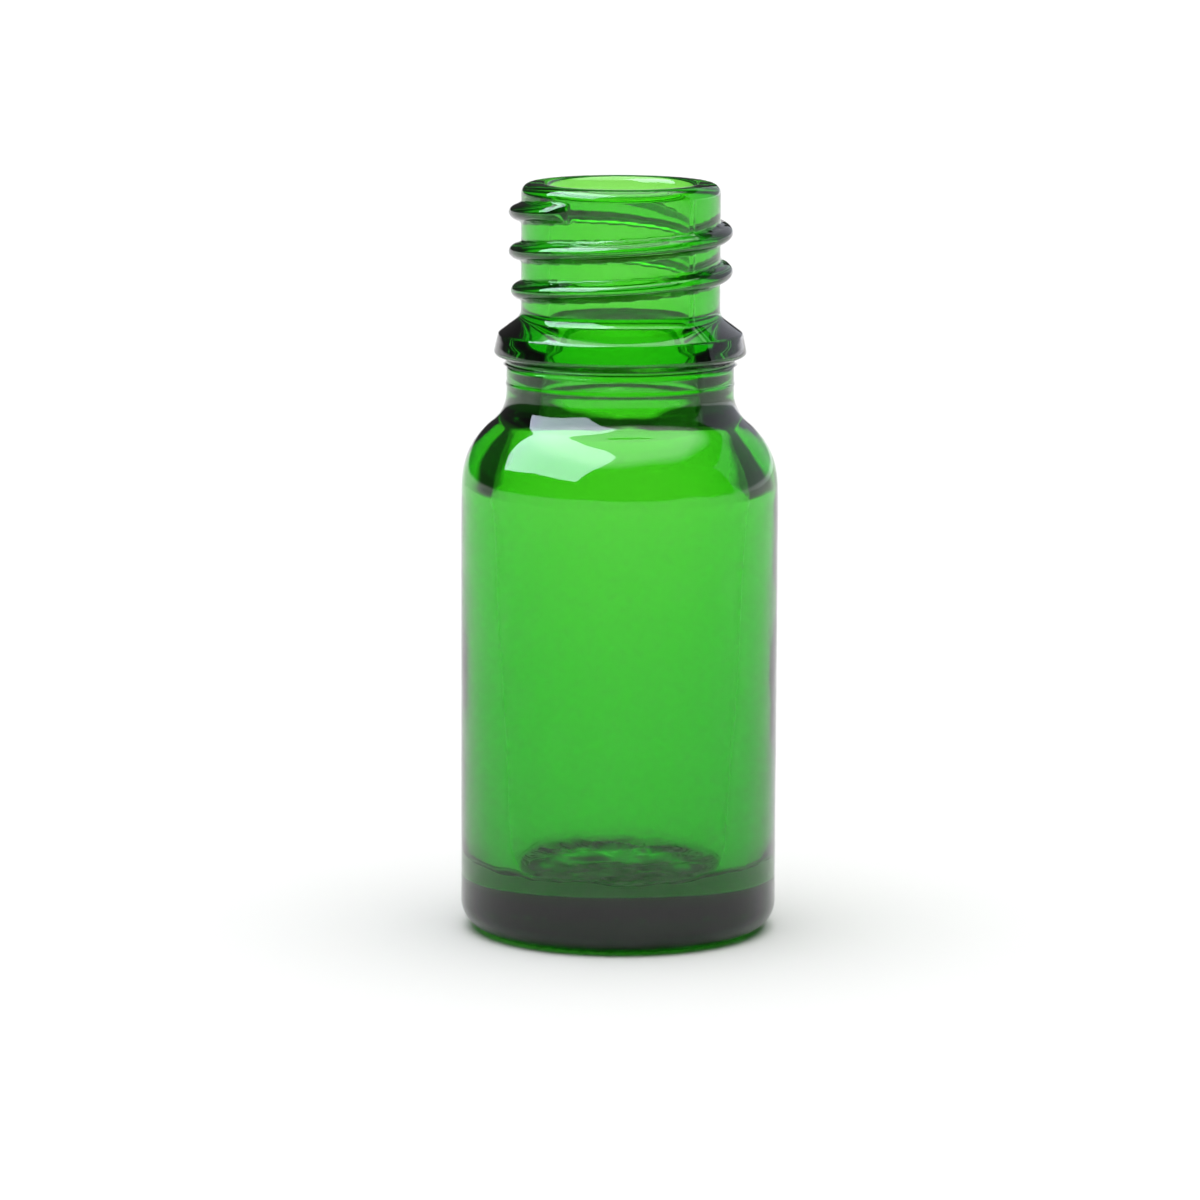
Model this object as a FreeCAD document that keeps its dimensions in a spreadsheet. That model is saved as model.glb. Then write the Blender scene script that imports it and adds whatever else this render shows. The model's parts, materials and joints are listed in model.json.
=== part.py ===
import FreeCAD
import Part
import Sketcher

import math
import os
from enum import IntEnum

# A small oil bottle of green glass, moulded in one piece: a thick round body, a soft shoulder
# and a neck with a screw thread above a locking bead. The bottle stands on Z = 0 with its axis
# on Z, and the thread's upper end faces front left, where -Y is the front.

# Driving dimensions in millimetres, with counts, turns and degrees where the name says so.
# The neck is stacked down from the lip, as on a neck finish drawing: thread, bead, collar.
SIZES = {
    # body
    "bottle_height": 58.0,
    "body_diameter": 24.5,
    "heel_round": 2.2,
    "shoulder_crown": 6.5,
    "shoulder_sweep": 3.1,
    # neck
    "neck_diameter": 15.3,
    "lip_outer_round": 0.8,
    "lip_inner_round": 0.5,
    # screw thread
    "thread_drop": 1.75,
    "thread_pitch": 3.0,
    "thread_turns": 2.33,
    "thread_height": 0.95,
    "thread_root_width": 1.5,
    "thread_crest_round": 0.5,
    "thread_sink": 0.3,
    "thread_end_angle": 240,
    # locking bead
    "bead_clearance": 0.5,
    "bead_slope": 1.3,
    "bead_face": 1.4,
    "bead_undercut": 0.9,
    "bead_reach": 1.0,
    "bead_taper": 0.35,
    "bead_groove": 0.6,
    "bead_round": 0.3,
    "bead_root_round": 1.0,
    # collar under the bead
    "collar_step": 1.1,
    "collar_length": 2.2,
    "collar_round": 0.4,
    # cavity
    "bore_diameter": 11.0,
    "body_wall": 2.1,
    "cavity_crown": 4.2,
    "cavity_sweep": 5.0,
    "wall_bow": 210.0,
    "floor_height": 5.1,
    "floor_round": 1.6,
    # foot
    "standing_ring": 1.5,
    "punt_rise": 0.9,
    "knurl_count": 60,
    "knurl_width": 0.45,
    "knurl_depth": 0.2,
}

# Radii and heights that several features share, as expressions on the sheet.
BODY_RADIUS = "sizes.body_diameter / 2"
NECK_RADIUS = "sizes.neck_diameter / 2"
BORE_RADIUS = "sizes.bore_diameter / 2"
LIP_WALL = f"({NECK_RADIUS} - {BORE_RADIUS})"
COLLAR_RADIUS = f"({NECK_RADIUS} + sizes.collar_step)"
GROOVE_RADIUS = f"({COLLAR_RADIUS} - sizes.bead_groove)"
BEAD_RADIUS = f"({COLLAR_RADIUS} + sizes.bead_reach)"
BEAD_TOP_RADIUS = f"({BEAD_RADIUS} - sizes.bead_taper)"
CAVITY_RADIUS = f"({BODY_RADIUS} - sizes.body_wall)"
PUNT_RADIUS = f"({BODY_RADIUS} - sizes.heel_round - sizes.standing_ring)"
LIP = "sizes.bottle_height"
THREAD_END = f"({LIP} - sizes.thread_drop - sizes.thread_turns * sizes.thread_pitch)"
BEAD_ROOT = f"({THREAD_END} - sizes.thread_root_width / 2 - sizes.bead_clearance)"
BEAD_TOP = f"({BEAD_ROOT} - sizes.bead_slope)"
BEAD_LOW = f"({BEAD_TOP} - sizes.bead_face)"
BEAD_GROOVE = f"({BEAD_LOW} - sizes.bead_undercut)"
COLLAR_FOOT = f"({BEAD_GROOVE} - sizes.collar_length)"

# The largest share of its wall or ledge that a round may take.
OUTER_LIP_SHARE = 0.6
INNER_LIP_SHARE = 0.3
COLLAR_SHARE = 0.8

# A sketch's own origin, as the element and the point that constraints take.
ORIGIN = (-1, 1)


class Point(IntEnum):
    """The points of a sketch element, by the numbers that constraints take."""

    START = 1
    END = 2
    CENTRE = 3


class Axis(IntEnum):
    """The axes of a sketch, by the numbers that constraints take."""

    ACROSS = -1
    UPRIGHT = -2


def make_sheet(doc):
    """The spreadsheet that holds the driving dimensions, one alias each."""
    sheet = doc.addObject("Spreadsheet::Sheet", "sizes")
    for row, (alias, value) in enumerate(SIZES.items(), start=1):
        sheet.set(f"A{row}", alias)
        sheet.set(f"B{row}", str(value))
        sheet.setAlias(f"B{row}", alias)
    doc.recompute()
    return sheet


def origin_item(body, role):
    """One of the body's own origin planes or axes."""
    return next(item for item in body.Origin.OriginFeatures if item.Role == role)


def new_sketch(body, name, role="XZ_Plane"):
    sketch = body.newObject("Sketcher::SketchObject", name)
    sketch.AttachmentSupport = [(origin_item(body, role), "")]
    sketch.MapMode = "FlatFace"
    return sketch


class Outline:
    """Draws a closed outline in a sketch, in the plane's own x and y, and ties it to the sheet."""

    def __init__(self, sketch):
        self.sketch = sketch

    def value(self, expression):
        return float(self.sketch.evalExpression(expression))

    def point(self, x, y):
        """A point from two expressions on the sheet."""
        return FreeCAD.Vector(self.value(x), self.value(y), 0)

    def line(self, start, end):
        return self.sketch.addGeometry(Part.LineSegment(start, end))

    def arc(self, centre, radius, first, last):
        """An arc that runs anticlockwise between two angles in degrees."""
        circle = Part.Circle(centre, FreeCAD.Vector(0, 0, 1), radius)
        return self.sketch.addGeometry(Part.ArcOfCircle(circle, math.radians(first), math.radians(last)))

    def tie(self, kind, *items, to=None):
        """Adds a constraint, and binds its size to an expression where one is given."""
        if to is None:
            self.sketch.addConstraint(Sketcher.Constraint(kind, *items))
            return
        index = self.sketch.addConstraint(Sketcher.Constraint(kind, *items, self.value(to)))
        self.sketch.setExpression(f"Constraints[{index}]", to)

    def place(self, element, end, x=None, y=None):
        """Fixes a point by its distances from the sketch's origin, or on an axis where one is "0"."""
        for kind, axis, expression in (("DistanceX", Axis.UPRIGHT, x), ("DistanceY", Axis.ACROSS, y)):
            if expression == "0":
                self.tie("PointOnObject", element, end, axis)
            elif expression is not None:
                self.tie(kind, *ORIGIN, element, end, to=expression)

    def polyline(self, corners):
        """Straight runs through corners that are pairs of expressions. All but the last are fixed."""
        points = [self.point(x, y) for x, y in corners]
        lines = [self.line(a, b) for a, b in zip(points, points[1:])]
        for line, (x, y) in zip(lines, corners):
            self.place(line, Point.START, x, y)
        for line, after in zip(lines, lines[1:]):
            self.tie("Coincident", line, Point.END, after, Point.START)
        return lines

    def polygon(self, corners):
        lines = self.polyline([*corners, corners[0]])
        self.tie("Coincident", lines[-1], Point.END, lines[0], Point.START)


class Shoulder:
    """Two tangent arcs that lead from a wall up to a narrower neck."""

    def __init__(self, outline, neck_radius, neck_foot, sweep, wall_radius, crown):
        self.outline = outline
        self.sweep = sweep
        self.crown = crown
        self.sweep_centre = outline.point(f"{neck_radius} + {sweep}", neck_foot)
        crown_x = outline.value(f"{wall_radius} - {crown}")
        across = self.sweep_centre.x - crown_x
        rise = math.sqrt(outline.value(f"{sweep} + {crown}") ** 2 - across**2)
        self.lean = math.degrees(math.atan2(rise, across))
        self.crown_centre = FreeCAD.Vector(crown_x, self.sweep_centre.y - rise, 0)

    def wall_top(self):
        """The point where the wall ends and the crown begins."""
        return self.crown_centre + FreeCAD.Vector(self.outline.value(self.crown), 0, 0)

    def draw(self, wall_end, neck_end):
        """Draws the arcs between two ends, each given as an element and its point."""
        outline = self.outline
        crown = outline.arc(self.crown_centre, outline.value(self.crown), 0, self.lean)
        sweep = outline.arc(self.sweep_centre, outline.value(self.sweep), 180, 180 + self.lean)
        outline.tie("Tangent", *wall_end, crown, Point.START)
        outline.tie("Tangent", crown, Point.END, sweep, Point.END)
        outline.tie("Tangent", sweep, Point.START, *neck_end)
        outline.tie("Radius", crown, to=self.crown)
        outline.tie("Radius", sweep, to=self.sweep)


def revolve(body, name, sketch, cut=False):
    """A full turn of a sketch about the bottle's axis, added to the glass or cut from it."""
    before = body.Shape.Volume if cut else 0
    feature = body.newObject("PartDesign::Groove" if cut else "PartDesign::Revolution", name)
    feature.Profile = sketch
    feature.ReferenceAxis = (sketch, ["V_Axis"])
    feature.Angle = 360
    body.Document.recompute()
    if cut:
        expect_less(feature, before)
    return feature


def expect_less(feature, volume_before):
    """Stops if a cut took nothing away."""
    if feature.Shape.isNull() or feature.Shape.Volume >= volume_before:
        raise RuntimeError(f"{feature.Name} cuts nothing")


def outer_form(body):
    """The outside of the body, shoulder, collar, bead and neck."""
    sketch = new_sketch(body, "outer_outline")
    outline = Outline(sketch)
    shoulder = Shoulder(
        outline, COLLAR_RADIUS, COLLAR_FOOT, "sizes.shoulder_sweep", BODY_RADIUS, "sizes.shoulder_crown"
    )
    (base,) = outline.polyline([("0", "0"), (BODY_RADIUS, "0")])
    side = outline.line(outline.point(BODY_RADIUS, "0"), shoulder.wall_top())
    outline.place(side, Point.START, BODY_RADIUS, "0")
    outline.tie("Coincident", base, Point.END, side, Point.START)
    outline.tie("Vertical", side)
    neck = outline.polyline([
        (COLLAR_RADIUS, COLLAR_FOOT),
        (COLLAR_RADIUS, BEAD_GROOVE),
        (GROOVE_RADIUS, BEAD_GROOVE),
        (BEAD_RADIUS, BEAD_LOW),
        (BEAD_TOP_RADIUS, BEAD_TOP),
        (NECK_RADIUS, BEAD_ROOT),
        (NECK_RADIUS, LIP),
        ("0", LIP),
        ("0", "0"),
    ])
    outline.tie("Coincident", neck[-1], Point.END, base, Point.START)
    shoulder.draw((side, Point.END), (neck[0], Point.START))
    return revolve(body, "outer_form", sketch)


def ring_edges(shape, radius, height):
    """Names of the circular edges round the axis with this radius, at this height."""
    near = 1e-4
    found = []
    for number, edge in enumerate(shape.Edges, start=1):
        curve = edge.Curve
        if not isinstance(curve, Part.Circle) or math.hypot(curve.Center.x, curve.Center.y) > near:
            continue
        if abs(curve.Radius - radius) < near and abs(curve.Center.z - height) < near:
            found.append(f"Edge{number}")
    return found


def round_rings(body, base, name, size, *rings):
    """A fillet on rings that are pairs of expressions, radius and height."""
    edges = []
    for radius, height in rings:
        found = ring_edges(base.Shape, base.evalExpression(radius), base.evalExpression(height))
        if not found:
            raise RuntimeError(f"{name}: no ring at {radius}, {height}")
        edges += found
    fillet = body.newObject("PartDesign::Fillet", name)
    fillet.Base = (base, edges)
    fillet.setExpression("Radius", size)
    body.Document.recompute()
    return fillet


def soften_outside(body, form):
    """The rounds that the mould and the heat give the outside."""
    collar_round = f"min(sizes.collar_round; {COLLAR_SHARE} * sizes.bead_groove)"
    lip_round = f"min(sizes.lip_outer_round; {OUTER_LIP_SHARE} * {LIP_WALL})"
    heel = round_rings(body, form, "heel", "sizes.heel_round", (BODY_RADIUS, "0"))
    collar = round_rings(body, heel, "collar_edge", collar_round, (COLLAR_RADIUS, BEAD_GROOVE))
    root = round_rings(body, collar, "bead_root", "sizes.bead_root_round", (NECK_RADIUS, BEAD_ROOT))
    bead_edges = [(BEAD_RADIUS, BEAD_LOW), (BEAD_TOP_RADIUS, BEAD_TOP)]
    bead = round_rings(body, root, "bead_edges", "sizes.bead_round", *bead_edges)
    round_rings(body, bead, "lip_outside", lip_round, (NECK_RADIUS, LIP))


def thread_section(body):
    """Two flanks and a round crest, drawn at the height of the thread's lower end."""
    sketch = new_sketch(body, "thread_section")
    outline = Outline(sketch)
    root = f"{NECK_RADIUS} - sizes.thread_sink"
    low = f"{THREAD_END} - sizes.thread_root_width / 2"
    high = f"{THREAD_END} + sizes.thread_root_width / 2"
    crest_x = f"{NECK_RADIUS} + sizes.thread_height - sizes.thread_crest_round"
    centre = outline.point(crest_x, THREAD_END)
    radius = outline.value("sizes.thread_crest_round")
    # Each flank is the tangent from its root corner to the crest.
    to_corner = outline.point(root, high) - centre
    spread = math.atan2(to_corner.y, to_corner.x) - math.acos(radius / to_corner.Length)
    touch = FreeCAD.Vector(radius * math.cos(spread), radius * math.sin(spread), 0)
    (foot,) = outline.polyline([(root, high), (root, low)])
    outline.place(foot, Point.END, root, low)
    lower_flank = outline.line(outline.point(root, low), centre + FreeCAD.Vector(touch.x, -touch.y, 0))
    crest = outline.arc(centre, radius, -math.degrees(spread), math.degrees(spread))
    upper_flank = outline.line(centre + touch, outline.point(root, high))
    outline.tie("Coincident", foot, Point.END, lower_flank, Point.START)
    outline.tie("Tangent", lower_flank, Point.END, crest, Point.START)
    outline.tie("Tangent", crest, Point.END, upper_flank, Point.START)
    outline.tie("Coincident", upper_flank, Point.END, foot, Point.START)
    outline.tie("Radius", crest, to="sizes.thread_crest_round")
    outline.place(crest, Point.CENTRE, crest_x, THREAD_END)
    return sketch


def neck_thread(body):
    """A single right-hand thread with blunt ends, swept up from its lower end."""
    sketch = thread_section(body)
    # The section is turned to where the lower end lies, so the upper end comes out at its own angle.
    sketch.AttachmentOffset = FreeCAD.Placement(
        FreeCAD.Vector(), FreeCAD.Rotation(FreeCAD.Vector(0, 1, 0), 0)
    )
    sketch.setExpression(
        "AttachmentOffset.Rotation.Angle", "sizes.thread_end_angle - 360 * sizes.thread_turns"
    )
    helix = body.newObject("PartDesign::AdditiveHelix", "neck_thread")
    helix.Profile = sketch
    helix.ReferenceAxis = (sketch, ["V_Axis"])
    helix.Mode = "pitch-turns-angle"
    helix.LeftHanded = False
    helix.setExpression("Pitch", "sizes.thread_pitch")
    helix.setExpression("Turns", "sizes.thread_turns")
    body.Document.recompute()


def cavity(body):
    """The inside: a straight bore, a soft shoulder and a wall that thickens down to the floor."""
    sketch = new_sketch(body, "cavity_outline")
    outline = Outline(sketch)
    shoulder = Shoulder(
        outline, BORE_RADIUS, COLLAR_FOOT, "sizes.cavity_sweep", CAVITY_RADIUS, "sizes.cavity_crown"
    )
    above_lip = f"{LIP} + sizes.lip_outer_round"
    bore = outline.polyline([
        (BORE_RADIUS, COLLAR_FOOT),
        (BORE_RADIUS, above_lip),
        ("0", above_lip),
        ("0", "sizes.floor_height"),
    ])
    # The wall is one long arc, upright at the shoulder and tangent to the floor's round below.
    bow = outline.value("sizes.wall_bow")
    turn = outline.value("sizes.floor_round")
    wall_top = shoulder.wall_top()
    bow_centre = wall_top - FreeCAD.Vector(bow, 0, 0)
    turn_height = outline.value("sizes.floor_height + sizes.floor_round")
    drop = wall_top.y - turn_height
    turn_centre = FreeCAD.Vector(bow_centre.x + math.sqrt((bow - turn) ** 2 - drop**2), turn_height, 0)
    dip = -math.degrees(math.asin(drop / (bow - turn)))
    floor_start = outline.point("0", "sizes.floor_height")
    floor = outline.line(floor_start, FreeCAD.Vector(turn_centre.x, floor_start.y, 0))
    floor_turn = outline.arc(turn_centre, turn, -90, dip)
    wall = outline.arc(bow_centre, bow, dip, 0)
    outline.tie("Coincident", bore[-1], Point.END, floor, Point.START)
    outline.place(floor, Point.START, "0", "sizes.floor_height")
    outline.tie("Horizontal", floor)
    outline.tie("Tangent", floor, Point.END, floor_turn, Point.START)
    outline.tie("Tangent", floor_turn, Point.END, wall, Point.START)
    outline.tie("Radius", floor_turn, to="sizes.floor_round")
    outline.tie("Radius", wall, to="sizes.wall_bow")
    outline.place(wall, Point.END, CAVITY_RADIUS)
    outline.tie("Horizontal", wall, Point.CENTRE, wall, Point.END)
    shoulder.draw((wall, Point.END), (bore[0], Point.START))
    hollow = revolve(body, "cavity", sketch, cut=True)
    lip_round = f"min(sizes.lip_inner_round; {INNER_LIP_SHARE} * {LIP_WALL})"
    round_rings(body, hollow, "lip_inside", lip_round, (BORE_RADIUS, LIP))


def punt(body):
    """The shallow dome under the base, inside the standing ring."""
    sketch = new_sketch(body, "punt_outline")
    outline = Outline(sketch)
    edge = outline.value(PUNT_RADIUS)
    rise = outline.value("sizes.punt_rise")
    radius = (edge**2 + rise**2) / (2 * rise)
    half_angle = math.degrees(math.asin(edge / radius))
    base = outline.line(FreeCAD.Vector(), FreeCAD.Vector(edge, 0, 0))
    dome = outline.arc(FreeCAD.Vector(0, rise - radius, 0), radius, 90 - half_angle, 90)
    axis = outline.line(FreeCAD.Vector(0, rise, 0), FreeCAD.Vector())
    outline.tie("Coincident", base, Point.START, *ORIGIN)
    outline.place(base, Point.END, PUNT_RADIUS, "0")
    outline.tie("Coincident", base, Point.END, dome, Point.START)
    outline.tie("Coincident", dome, Point.END, axis, Point.START)
    outline.place(axis, Point.START, "0", "sizes.punt_rise")
    outline.tie("Coincident", axis, Point.END, base, Point.START)
    outline.tie("PointOnObject", dome, Point.CENTRE, Axis.UPRIGHT)
    revolve(body, "punt", sketch, cut=True)


def knurl(body):
    """Short grooves across the standing ring, all round, which leave a ring of small pads."""
    sketch = new_sketch(body, "knurl_outline", "XY_Plane")
    inner = f"{PUNT_RADIUS} - sizes.knurl_width"
    half = "sizes.knurl_width / 2"
    Outline(sketch).polygon([
        (inner, f"-{half}"),
        (BODY_RADIUS, f"-{half}"),
        (BODY_RADIUS, half),
        (inner, half),
    ])
    before = body.Shape.Volume
    groove = body.newObject("PartDesign::Pocket", "knurl_groove")
    groove.Profile = sketch
    groove.Reversed = True
    groove.setExpression("Length", "sizes.knurl_depth")
    body.Document.recompute()
    expect_less(groove, before)
    pattern = body.newObject("PartDesign::PolarPattern", "knurl")
    pattern.Originals = [groove]
    pattern.Axis = (origin_item(body, "Z_Axis"), [""])
    pattern.Angle = 360
    pattern.setExpression("Occurrences", "sizes.knurl_count")
    body.Tip = pattern
    body.Document.recompute()
    expect_less(pattern, groove.Shape.Volume)


def check(doc, body):
    """Stops if a feature failed or the glass isn't one sound solid."""
    for item in doc.Objects:
        if {"Invalid", "Error"} & set(item.State):
            raise RuntimeError(f"{item.Name} failed: {item.State}")
    shape = body.Shape
    if shape.isNull() or not shape.isValid() or len(shape.Solids) != 1:
        raise RuntimeError(f"{body.Label} is not one sound solid")


def main():
    doc = FreeCAD.newDocument("oil_bottle")
    make_sheet(doc)
    body = doc.addObject("PartDesign::Body", "glass_bottle")
    body.Label = "glass_bottle"
    form = outer_form(body)
    soften_outside(body, form)
    neck_thread(body)
    cavity(body)
    punt(body)
    knurl(body)
    check(doc, body)
    os.makedirs("parts", exist_ok=True)
    body.Shape.exportStep(f"parts/{body.Label}.step")
    print(f"{body.Label}: {body.Shape.Volume / 1000:.2f} ml of glass")


main()
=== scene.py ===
# %% [markdown]
# # A small green oil bottle
#
# The object is one piece of moulded green glass: a thick round body, a soft shoulder, a collar, a
# locking bead and a neck with a screw thread. Glass is all about what is behind it and beside it, so
# this lesson models the walls first, inside and out, and then builds a small studio for them.
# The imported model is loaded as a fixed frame, and every size below is in millimetres.

# %% Load the frame
import json
import math

import bpy
from mathutils import Matrix, Vector


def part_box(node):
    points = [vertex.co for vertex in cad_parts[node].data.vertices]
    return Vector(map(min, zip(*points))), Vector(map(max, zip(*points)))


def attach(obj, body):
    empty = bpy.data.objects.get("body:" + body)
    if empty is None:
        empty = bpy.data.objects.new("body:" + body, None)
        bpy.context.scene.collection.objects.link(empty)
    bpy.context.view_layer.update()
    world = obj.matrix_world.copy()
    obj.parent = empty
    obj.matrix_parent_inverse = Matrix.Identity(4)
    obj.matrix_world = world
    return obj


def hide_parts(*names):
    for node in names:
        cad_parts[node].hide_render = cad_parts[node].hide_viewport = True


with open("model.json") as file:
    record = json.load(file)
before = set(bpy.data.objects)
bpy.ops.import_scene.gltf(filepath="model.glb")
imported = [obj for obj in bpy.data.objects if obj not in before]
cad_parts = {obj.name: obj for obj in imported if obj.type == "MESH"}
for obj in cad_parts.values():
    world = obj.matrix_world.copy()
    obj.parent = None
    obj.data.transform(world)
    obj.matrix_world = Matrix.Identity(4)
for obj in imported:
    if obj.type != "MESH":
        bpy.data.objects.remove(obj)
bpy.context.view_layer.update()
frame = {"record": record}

MM = 0.001
high_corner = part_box("glass_bottle")[1]
HEIGHT = high_corner.z / MM
BODY_RADIUS = high_corner.x / MM
BORE_RADIUS = next(m for m in frame["record"]["mounts"] if m["name"] == "neck_bore")["dims"]["r_mm"]
print(f"bottle {2 * BODY_RADIUS:.1f} mm wide, {HEIGHT:.1f} mm high, bore {2 * BORE_RADIUS:.1f} mm")

# %% [markdown]
# ## The camera
#
# A photographer backs away and uses a long lens, so that the bottle's sides stay nearly parallel.
# The camera stands in front, a little above the lip, and looks down by nine degrees. It could be aimed
# at the bottle's centre, but the bottle stands a little right of the picture's centre, so the camera
# is moved sideways instead, which keeps the picture upright and needs no lens shift.

# %% The camera
FRAME_PIXELS = 1200
FOCAL_PIXELS = 5738
SENSOR_WIDTH = 36.0
CAMERA_DISTANCE = 438.3
CAMERA_HEIGHT = 96.8
CAMERA_TILT = math.radians(9.22)
CAMERA_ROLL = math.radians(0.22)
BOTTLE_OFFSET_PIXELS = 19.5
CLIP_START = 10.0


def set_camera():
    sideways = BOTTLE_OFFSET_PIXELS * CAMERA_DISTANCE / FOCAL_PIXELS
    bpy.ops.object.camera_add(location=Vector((-sideways, -CAMERA_DISTANCE, CAMERA_HEIGHT)) * MM)
    camera = bpy.context.object
    tilt = Matrix.Rotation(math.pi / 2 - CAMERA_TILT, 4, "X")
    roll = Matrix.Rotation(CAMERA_ROLL, 4, "Z")
    camera.matrix_world = Matrix.Translation(camera.location) @ tilt @ roll
    camera.data.sensor_width = SENSOR_WIDTH
    camera.data.lens = FOCAL_PIXELS / FRAME_PIXELS * SENSOR_WIDTH
    camera.data.clip_start = CLIP_START * MM
    bpy.context.scene.camera = camera
    return camera


camera = set_camera()
print(f"lens {camera.data.lens:.0f} mm, {CAMERA_DISTANCE:.0f} mm from the axis")

# %% [markdown]
# ## The outline of the glass
#
# A bottle is a turned form, so half of its section says nearly everything. The section is one chain
# from the middle of the base, round the outside to the lip, and down the inside to the middle of the
# floor. It could be drawn as a curve, but straight runs with rounded corners are how the mould is cut,
# and each round keeps its real radius. Every corner is (radius, height, round, spacing of the rows on
# the run that follows). The neck gets close rows, because its thread is raised from them later.

# %% The outline of the glass
PUNT_RADIUS = 8.55
PUNT_RISE = 0.9
PUNT_MID_SHARE = 0.75
PUNT_MID_ROUND = 18.0
PUNT_EDGE_ROUND = 0.15
PAD_HEIGHT = 0.0
HEEL_ROUND = 2.2
SHOULDER_CROWN = (37.66, 6.4)
SHOULDER_SWEEP = (40.55, 3.05)
COLLAR_RADIUS = 8.75
BEAD_RADIUS = 9.75
BEAD_TOP_RADIUS = 9.4
BEAD_GROOVE_RADIUS = 8.15
NECK_RADIUS = 7.65
BEAD_HEIGHTS = {"groove": 44.1, "low": 44.9, "top": 46.5, "root": 47.8}
COLLAR_ROUND = 0.35
GROOVE_ROUND = 0.2
BEAD_LOW_ROUND = 0.3
BEAD_TOP_ROUND = 0.35
BEAD_ROOT_ROUND = 1.0
LIP_ROUNDS = (0.8, 0.55)
WALL = 2.1
BORE_FOOT = (47.5, 20.0)
THROAT = (6.3, 40.3, 3.7)
CAVITY_CROWN = (36.6, 7.0)
FLOOR_HEIGHT = 5.1
FLOOR_ROUND = 0.6
WALL_FOOT_RADIUS = 8.3
COARSE, MEDIUM, FINE = 1.5, 0.6, 0.12
PAD_SPACING = 0.25
FLOOR_SPACING = 0.4
ARC_STEP = 0.28
ARC_MIN_STEPS = 3
WIDEST_STEPPED_ROUND = 8


def outline_corners():
    punt_mid = (PUNT_RADIUS / 2, PUNT_RISE * PUNT_MID_SHARE, PUNT_MID_ROUND, MEDIUM)
    outside = [
        (0.0, PUNT_RISE, 0.0, MEDIUM),
        punt_mid,
        (PUNT_RADIUS, PAD_HEIGHT, PUNT_EDGE_ROUND, PAD_SPACING),
        (BODY_RADIUS, PAD_HEIGHT, HEEL_ROUND, COARSE),
        (BODY_RADIUS, SHOULDER_CROWN[0], SHOULDER_CROWN[1], MEDIUM),
        (COLLAR_RADIUS, SHOULDER_SWEEP[0], SHOULDER_SWEEP[1], FINE),
        (COLLAR_RADIUS, BEAD_HEIGHTS["groove"], COLLAR_ROUND, MEDIUM),
        (BEAD_GROOVE_RADIUS, BEAD_HEIGHTS["groove"], GROOVE_ROUND, MEDIUM),
        (BEAD_RADIUS, BEAD_HEIGHTS["low"], BEAD_LOW_ROUND, MEDIUM),
        (BEAD_TOP_RADIUS, BEAD_HEIGHTS["top"], BEAD_TOP_ROUND, MEDIUM),
        (NECK_RADIUS, BEAD_HEIGHTS["root"], BEAD_ROOT_ROUND, FINE),
        (NECK_RADIUS, HEIGHT, LIP_ROUNDS[0], MEDIUM),
    ]
    # Below the neck the bore widens a little, and the rounds inside the shoulder keep its wall even, so
    # that it bends light as little as a pane does.
    inside = [
        (BORE_RADIUS, HEIGHT, LIP_ROUNDS[1], COARSE),
        (BORE_RADIUS,) + BORE_FOOT + (MEDIUM,),
        THROAT + (MEDIUM,),
        (BODY_RADIUS - WALL,) + CAVITY_CROWN + (COARSE,),
        (WALL_FOOT_RADIUS, FLOOR_HEIGHT, FLOOR_ROUND, FLOOR_SPACING),
        (0.0, FLOOR_HEIGHT, 0.0, MEDIUM),
    ]
    return outside + inside


def corner_arc(before, corner, after, round_radius):
    """Points of the arc that rounds a corner, tangent to both runs."""
    to_before = (before - corner).normalized()
    to_after = (after - corner).normalized()
    half = to_before.angle(to_after) / 2
    centre = corner + (to_before + to_after).normalized() * round_radius / math.sin(half)
    start = corner + to_before * round_radius / math.tan(half) - centre
    end = corner + to_after * round_radius / math.tan(half) - centre
    sweep = start.angle_signed(end)
    length = abs(sweep) * min(round_radius, WIDEST_STEPPED_ROUND)
    steps = max(ARC_MIN_STEPS, math.ceil(length / ARC_STEP))
    first = math.atan2(start.y, start.x)
    return [
        centre + Vector((math.cos(a), math.sin(a))) * round_radius
        for a in (first - sweep * i / steps for i in range(steps + 1))
    ]


def outline_points():
    corners = outline_corners()
    places = [Vector(c[:2]) for c in corners]
    points = []
    for i, (*_, round_radius, spacing) in enumerate(corners):
        rounded = [places[i]]
        if round_radius:
            rounded = corner_arc(places[i - 1], places[i], places[i + 1], round_radius)
        if points:
            run = rounded[0] - points[-1]
            cuts = max(1, math.ceil(run.length / run_spacing))
            points += [points[-1] + run * k / cuts for k in range(1, cuts)]
        points += rounded
        run_spacing = spacing
    return points


section = outline_points()
print(f"section of {len(section)} points, lip at {max(p.y for p in section):.2f} mm")

# %% [markdown]
# ## Turning the section
#
# The chain is extruded point by point from a single vertex and spun round the axis, as a potter's
# profile would be. A screw modifier could do the same, but the spin leaves plain rows and columns
# that the thread and the knurl can be raised from. Four columns fall on each pad of the knurl.

# %% Turning the section
PADS = 60
COLUMNS = 4 * PADS
MERGE_DISTANCE = 1e-6


def deselect_all():
    if bpy.context.object and bpy.context.object.mode != "OBJECT":
        bpy.ops.object.mode_set(mode="OBJECT")
    bpy.ops.object.select_all(action="DESELECT")


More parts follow.
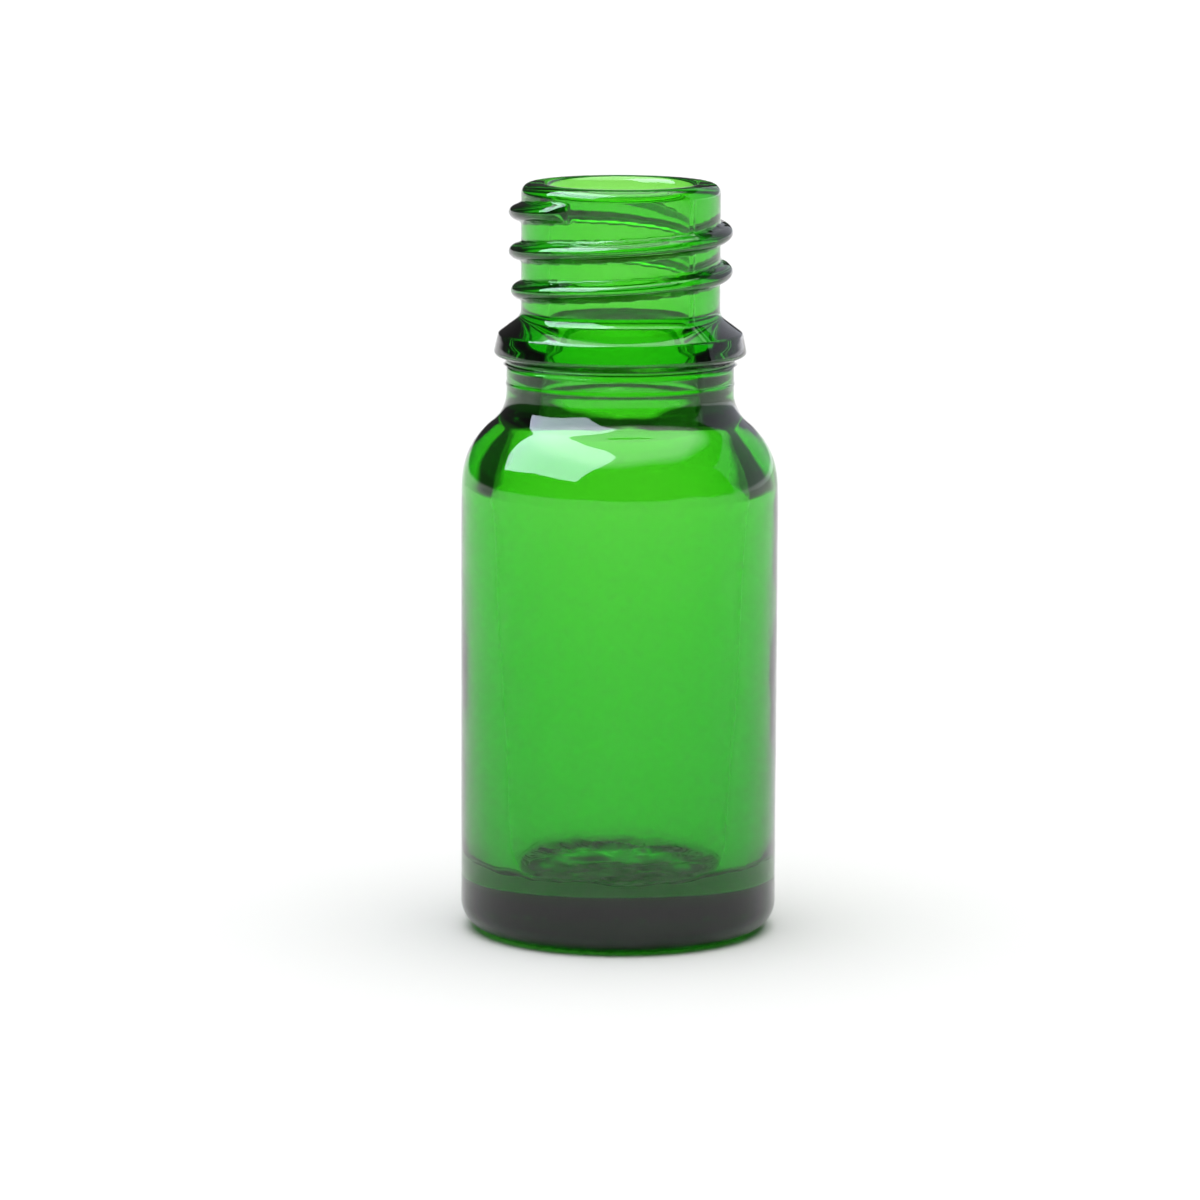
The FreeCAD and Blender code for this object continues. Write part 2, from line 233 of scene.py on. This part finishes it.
def turned_piece(name, points):
    """A chain of points, extruded from one vertex and spun round the Z axis."""
    deselect_all()
    bpy.ops.mesh.primitive_plane_add(size=MM)
    piece = bpy.context.object
    piece.name = name
    bpy.ops.object.mode_set(mode="EDIT")
    bpy.ops.mesh.select_all(action="SELECT")
    bpy.ops.mesh.merge(type="CENTER")
    places = [Vector((p.x, 0, p.y)) * MM for p in points]
    bpy.ops.transform.translate(value=places[0])
    for here, there in zip(places, places[1:]):
        bpy.ops.mesh.extrude_vertices_move(TRANSFORM_OT_translate={"value": there - here})
    bpy.ops.mesh.select_all(action="SELECT")
    bpy.ops.mesh.spin(steps=COLUMNS, angle=2 * math.pi, center=(0, 0, 0), axis=(0, 0, 1))
    bpy.ops.mesh.select_all(action="SELECT")
    bpy.ops.mesh.remove_doubles(threshold=MERGE_DISTANCE)
    bpy.ops.mesh.normals_make_consistent(inside=False)
    bpy.ops.object.mode_set(mode="OBJECT")
    bpy.ops.object.shade_smooth()
    return piece


glass = turned_piece("bottle_glass", section)
print(f"{glass.name}: {len(glass.data.vertices)} vertices, {len(glass.data.polygons)} faces")

# %% [markdown]
# ## The thread, the knurl and the mould's own marks
#
# On the real bottle all of these are cut into the mould. Each could be modelled as a piece of its own
# and joined by a boolean, but a boolean leaves slivers that show in clear glass. So each is a vertex
# group with a displace modifier: the weight says how far a point is raised, and the glass stays one
# closed skin. Angles are measured round the axis from +X, so 270 degrees is the front.

# %% Helpers for raised detail
UNDER_FLOOR = 1.0
MIDDLE_SHIFT = 0.4
SHOULDER_BLEND = 4


def smooth_step(low, high, value):
    share = min(1.0, max(0.0, (value - low) / (high - low)))
    return share * share * (3 - 2 * share)


def on_outside(radius, height):
    """True on the outer skin, which lies further out than the middle of the wall."""
    if height < FLOOR_HEIGHT - UNDER_FLOOR:
        return True
    middle = (COLLAR_RADIUS + BORE_RADIUS) / 2 - MIDDLE_SHIFT
    if height < BEAD_HEIGHTS["groove"]:
        share = smooth_step(SHOULDER_CROWN[0] - SHOULDER_BLEND, BEAD_HEIGHTS["groove"], height)
        middle += (1 - share) * (BODY_RADIUS - WALL / 2 - middle)
    return radius > middle


def raise_by_weight(piece, name, height, weight, direction="NORMAL", texture=None, middle=0.0):
    """Moves each point by a share of height, in millimetres, that the weight function gives it."""
    group = piece.vertex_groups.new(name=name)
    count = 0
    for vertex in piece.data.vertices:
        radius = math.hypot(vertex.co.x, vertex.co.y) / MM
        angle = math.degrees(math.atan2(vertex.co.y, vertex.co.x)) % 360
        share = weight(radius, angle, vertex.co.z / MM)
        if share > 0:
            group.add([vertex.index], share, "REPLACE")
            count += 1
    modifier = piece.modifiers.new(name, "DISPLACE")
    modifier.vertex_group = group.name
    modifier.strength = height * MM
    modifier.mid_level = middle
    modifier.direction = direction
    if texture:
        modifier.texture = texture
        modifier.texture_coords = "LOCAL"
    deselect_all()
    piece.select_set(True)
    bpy.context.view_layer.objects.active = piece
    bpy.ops.object.modifier_apply(modifier=modifier.name)
    print(f"{name}: {count} points moved by up to {height} mm")


# %% The screw thread
THREAD_PITCH = 3.0
THREAD_HEIGHT = 0.95
THREAD_ROOT_WIDTH = 1.45
THREAD_FULLNESS = 0.6
THREAD_TOP = (240.0, 56.25)
THREAD_TURNS = 2.33
BLUNT_END = 14.0
RUN_OUT = 85.0


def thread_weight(radius, angle, height):
    """The ridge's share of its full height: a round crest, a blunt upper end and a long run-out."""
    if radius < (NECK_RADIUS + BORE_RADIUS) / 2 or height < BEAD_HEIGHTS["root"]:
        return 0.0
    share = 0.0
    for turn in range(-4, 2):
        below_end = THREAD_TOP[0] - (angle + 360 * turn)
        if not 0 <= below_end <= 360 * THREAD_TURNS:
            continue
        away = abs(height - (THREAD_TOP[1] - THREAD_PITCH * below_end / 360))
        ridge = max(0.0, 1 - (2 * away / THREAD_ROOT_WIDTH) ** 2) ** THREAD_FULLNESS
        ends = smooth_step(0, BLUNT_END, below_end)
        ends *= smooth_step(0, RUN_OUT, 360 * THREAD_TURNS - below_end)
        share = max(share, ridge * ends)
    return share


raise_by_weight(glass, "thread", THREAD_HEIGHT, thread_weight)

# %% [markdown]
# ## The knurled standing ring
#
# Short grooves across the ring keep hot glass off the belt that carries it. They could be cut one by
# one, but a wave round the axis on the rows of the ring gives all sixty at once.

# %% The knurled standing ring
KNURL_DEPTH = 0.2
KNURL_TOP = 0.4
KNURL_INSIDE = 0.6
KNURL_OUTSIDE = 1.2


def knurl_weight(radius, angle, height):
    """One groove to each pad, on the underside of the ring."""
    if height > KNURL_TOP or not PUNT_RADIUS - KNURL_INSIDE < radius < BODY_RADIUS - KNURL_OUTSIDE:
        return 0.0
    return (1 + math.cos(math.radians(angle * PADS))) / 2


raise_by_weight(glass, "knurl", KNURL_DEPTH, knurl_weight, direction="Z")

# %% [markdown]
# ## The mould's parting lines
#
# Where two parts of a mould meet, the glass keeps a fine ridge. A bump would do from afar, but in clear
# glass the ridge bends what is seen through it, so it is raised from the skin like the thread.

# %% The mould's parting lines
PARTING_HEIGHT = 42.6
PARTING_WIDTH = 0.2
PARTING_RIDGE = 0.07
SEAM_ANGLES = (135.0, 315.0)
SEAM_SHARE = 0.5
SEAM_MARGIN = 1


def parting_weight(radius, angle, height):
    """A fine ridge round the collar's foot, and one up each side of the neck."""
    if not on_outside(radius, height):
        return 0.0
    if not PARTING_HEIGHT - SEAM_MARGIN <= height <= HEIGHT - SEAM_MARGIN:
        return 0.0
    ring = 1 - smooth_step(0, PARTING_WIDTH, abs(height - PARTING_HEIGHT))
    apart = min(abs(angle - seam) for seam in SEAM_ANGLES) * COLUMNS / 360
    seam = SEAM_SHARE * (1 - smooth_step(0, 1, apart))
    return max(ring, seam if height > PARTING_HEIGHT else 0.0)


raise_by_weight(glass, "parting_lines", PARTING_RIDGE, parting_weight)

# %% [markdown]
# ## Uneven walls
#
# The mould shapes the outside, but the inside is shaped by air and by how the hot glass flowed, so the
# inner wall is gently wavy and the floor is rippled, and the outer skin has a fainter wave from the
# mould. A cloud texture on a displace modifier gives each of them. Bump alone would bend the light in
# the render, but a real change in thickness also changes how dark the green is.

# %% Uneven walls
WAVE_SIZE = 9.0
WAVE_HEIGHT = 0.12
RIPPLE_SIZE = 3.0
RIPPLE_HEIGHT = 0.7
SKIN_WAVE_SIZE = 4.0
SKIN_WAVE_HEIGHT = 0.1
BARREL_SHARE = 0.35
WAVE_RANGE = (9, 36)
RIPPLE_FADE = (FLOOR_HEIGHT + 0.1, FLOOR_HEIGHT + 1.2)
SKIN_FOOT = (0.4, 4)
SKIN_RISE = (32, SHOULDER_CROWN[0] - 1)
SKIN_FADE = (SHOULDER_SWEEP[0] - 1, BEAD_HEIGHTS["groove"] - 2)


def cloud(name, size):
    texture = bpy.data.textures.new(name, "CLOUDS")
    texture.noise_scale = size * MM
    texture.noise_depth = 1
    return texture


def cavity_weight(radius, angle, height):
    if on_outside(radius, height):
        return 0.0
    share = smooth_step(FLOOR_HEIGHT, WAVE_RANGE[0], height)
    return share * (1 - smooth_step(WAVE_RANGE[1], BEAD_HEIGHTS["groove"], height))


def ripple_weight(radius, angle, height):
    if on_outside(radius, height):
        return 0.0
    return 1 - smooth_step(*RIPPLE_FADE, height)


def skin_weight(radius, angle, height):
    if not on_outside(radius, height) or radius < PUNT_RADIUS:
        return 0.0
    share = BARREL_SHARE + (1 - BARREL_SHARE) * smooth_step(*SKIN_RISE, height)
    share *= smooth_step(*SKIN_FOOT, height)
    return share * (1 - smooth_step(*SKIN_FADE, height))


raise_by_weight(
    glass, "inner_waves", WAVE_HEIGHT, cavity_weight, texture=cloud("flow", WAVE_SIZE), middle=0.5
)
raise_by_weight(
    glass, "floor_ripples", RIPPLE_HEIGHT, ripple_weight, "Z", cloud("ripples", RIPPLE_SIZE), middle=0.5
)
raise_by_weight(
    glass, "skin_waves", SKIN_WAVE_HEIGHT, skin_weight, texture=cloud("skin", SKIN_WAVE_SIZE), middle=1.0
)

# %% [markdown]
# ## Green bottle glass
#
# Soda-lime glass is clear, with an index near 1.52, and the green comes from chromium oxide in the
# melt: the deeper the light has to go, the greener and darker it gets. A tinted surface would look the
# same through thin and thick glass, so the colour is a volume that absorbs, and the thick base goes
# nearly black by itself. The surface is fire polished, with a faint unevenness from the mould.

# %% Green bottle glass
def linear(hex_colour):
    """An sRGB hex value as linear red, green, blue and alpha."""
    parts = [int(hex_colour[i : i + 2], 16) / 255 for i in (1, 3, 5)]
    return [p / 12.92 if p <= 0.04045 else ((p + 0.055) / 1.055) ** 2.4 for p in parts] + [1.0]


def add_node(tree, kind, links=None, values=None, **settings):
    """Adds a node with its settings, its input values and what is linked to its inputs."""
    new = tree.nodes.new(kind)
    for name, value in settings.items():
        setattr(new, name, value)
    for name, value in (values or {}).items():
        new.inputs[name].default_value = value
    for name, socket in (links or {}).items():
        tree.links.new(socket, new.inputs[name])
    return new


GLASS_INDEX = 1.52
ABSORB_DENSITY = 1000.0
GLASS_TINT = "#a3f230"
MOULD_GRAIN = 2.2
GRAIN_STRENGTH = 0.04
GRAIN_HEIGHT = 0.2
POLISH_PATCH = 9.0
POLISH_RANGE = (0.35, 0.75)
DULLEST_POLISH = 0.04


def green_glass():
    # Fire-polished soda-lime glass: the eye gets sharp highlights, and a green that deepens with thickness.
    material = bpy.data.materials.new("green_bottle_glass")
    material.use_nodes = True
    tree = material.node_tree
    tree.nodes.clear()
    place = add_node(tree, "ShaderNodeTexCoord").outputs["Object"]
    grain = add_node(
        tree, "ShaderNodeTexNoise", {"Vector": place}, {"Scale": 1 / (MOULD_GRAIN * MM), "Detail": 2.0}
    )
    bump = add_node(
        tree,
        "ShaderNodeBump",
        {"Height": grain.outputs["Fac"]},
        {"Strength": GRAIN_STRENGTH, "Distance": GRAIN_HEIGHT * MM},
    )
    patches = add_node(
        tree, "ShaderNodeTexNoise", {"Vector": place}, {"Scale": 1 / (POLISH_PATCH * MM), "Detail": 3.0}
    )
    polish = add_node(
        tree,
        "ShaderNodeMapRange",
        {"Value": patches.outputs["Fac"]},
        {"From Min": POLISH_RANGE[0], "From Max": POLISH_RANGE[1], "To Min": 0.0, "To Max": DULLEST_POLISH},
    )
    surface = add_node(
        tree,
        "ShaderNodeBsdfPrincipled",
        {"Roughness": polish.outputs["Result"], "Normal": bump.outputs["Normal"]},
        {"Base Color": linear("#ffffff"), "IOR": GLASS_INDEX, "Transmission Weight": 1.0},
    )
    depth = add_node(
        tree, "ShaderNodeVolumeAbsorption", None, {"Color": linear(GLASS_TINT), "Density": ABSORB_DENSITY}
    )
    add_node(
        tree,
        "ShaderNodeOutputMaterial",
        {"Surface": surface.outputs["BSDF"], "Volume": depth.outputs["Volume"]},
    )
    return material


glass.data.materials.clear()
glass.data.materials.append(green_glass())
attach(glass, "root")
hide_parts("glass_bottle")
print(f"glass tint {[round(c, 3) for c in linear(GLASS_TINT)[:3]]} at {ABSORB_DENSITY:.0f} per metre")

# %% [markdown]
# ## The studio
#
# Clear glass shows its surroundings, so the studio is part of the look. The floor is plain pale paper
# and the room is one soft light overhead with dim walls. The walls could be as pale as the floor, but
# then the thread and the bead would lose the dark lines that give glass its edges. The camera, the
# reflections and the rays that come through the glass all see this same floor and this same room.
# A window on the left and a pale panel on the right are lamps that only the reflections show.

# %% The floor
FLOOR_RADIUS = 6000.0
FLOOR_SIDES = 96
FLOOR_PALE = "#f2f2f2"


def add_floor():
    deselect_all()
    bpy.ops.mesh.primitive_circle_add(vertices=FLOOR_SIDES, radius=FLOOR_RADIUS * MM, fill_type="NGON")
    floor = bpy.context.object
    floor.name = "studio_floor"
    # Matt paper has no gloss, so the eye sees only the light on it and the bottle's soft shadow.
    material = bpy.data.materials.new("pale_paper")
    material.use_nodes = True
    tree = material.node_tree
    tree.nodes.clear()
    paper = add_node(tree, "ShaderNodeBsdfDiffuse", None, {"Color": linear(FLOOR_PALE)})
    add_node(tree, "ShaderNodeOutputMaterial", {"Surface": paper.outputs["BSDF"]})
    floor.data.materials.append(material)


add_floor()
print(f"floor {2 * FLOOR_RADIUS * MM:.0f} m across")

# %% [markdown]
# ## The room's light
#
# A softbox over the table gives even light with a soft shadow. It could be a lamp, but as part of the
# world it also stands above every reflection, and its level is set so that the floor renders white.

# %% The room's light
CEILING_LIGHT = 3.0
# The room's brightness by degrees above the horizon, as a share of the ceiling's.
ROOM_LEVELS = [(-90, 0.3), (0, 0.3), (2, 0.02), (46, 0.02), (58, 1.0)]


def light_room():
    world = bpy.data.worlds.new("studio_room")
    world.use_nodes = True
    bpy.context.scene.world = world
    tree = world.node_tree
    tree.nodes.clear()
    place = add_node(tree, "ShaderNodeTexCoord").outputs["Generated"]
    axes = add_node(tree, "ShaderNodeSeparateXYZ", {"Vector": place})
    height = add_node(
        tree, "ShaderNodeMapRange", {"Value": axes.outputs["Z"]}, {"From Min": -1, "From Max": 1}
    )
    room = add_node(tree, "ShaderNodeValToRGB", {"Fac": height.outputs["Result"]})
    while len(room.color_ramp.elements) < len(ROOM_LEVELS):
        room.color_ramp.elements.new(0.5)
    for element, (degrees, level) in zip(room.color_ramp.elements, ROOM_LEVELS):
        element.position = (math.sin(math.radians(degrees)) + 1) / 2
        element.color = (level, level, level, 1.0)
    light = add_node(
        tree, "ShaderNodeBackground", {"Color": room.outputs["Color"]}, {"Strength": CEILING_LIGHT}
    )
    add_node(tree, "ShaderNodeOutputWorld", {"Surface": light.outputs["Background"]})


light_room()
print(f"ceiling light {CEILING_LIGHT}, walls at {min(level for _, level in ROOM_LEVELS):.2f} of it")

# %% [markdown]
# ## The window and the panel
#
# The bright patch on the shoulder is a window, and a pale panel lights the other edge. Both could light
# the table too, but the ceiling does that already, so these lamps show in reflections alone.

# %% The window and the panel
LIGHT_DISTANCE = 900.0
AIM_SHARE = 0.65
WINDOW = {
    "azimuth": -109.0,
    "elevation": 50.0,
    "roll": 7.0,
    "size": (1120.0, 800.0),
    "radiance": 9.0,
    "colour": "#dfe8ff",
}
PANEL = {
    "azimuth": 52.0,
    "elevation": 18.0,
    "roll": 0.0,
    "size": (1500.0, 700.0),
    "radiance": 0.6,
    "colour": "#eef2ff",
}


def add_soft_light(name, light):
    """A flat lamp that only the reflections show, by degrees from straight behind and above the floor."""
    turn = math.radians(light["azimuth"])
    rise = math.radians(light["elevation"])
    direction = Vector((math.sin(turn) * math.cos(rise), math.cos(turn) * math.cos(rise), math.sin(rise)))
    target = Vector((0, 0, HEIGHT * MM * AIM_SHARE))
    bpy.ops.object.light_add(type="AREA", location=target + direction * LIGHT_DISTANCE * MM)
    lamp = bpy.context.object
    lamp.name = name
    roll = Matrix.Rotation(math.radians(light["roll"]), 3, "Z")
    lamp.rotation_euler = (direction.to_track_quat("Z", "Y").to_matrix() @ roll).to_euler()
    lamp.data.shape = "RECTANGLE"
    lamp.data.size, lamp.data.size_y = (side * MM for side in light["size"])
    lamp.data.energy = light["radiance"] * math.pi * lamp.data.size * lamp.data.size_y
    lamp.data.color = linear(light["colour"])[:3]
    lamp.visible_diffuse = False
    lamp.visible_transmission = False
    print(f"{name} {lamp.data.size:.2f} x {lamp.data.size_y:.2f} m, {lamp.data.energy:.1f} W")


add_soft_light("window", WINDOW)
add_soft_light("panel", PANEL)

# %% [markdown]
# ## Colour management
#
# The Standard view keeps colours as they are written. A filmic view would grey the white floor.

# %% Colour management
bpy.context.scene.view_settings.view_transform = "Standard"
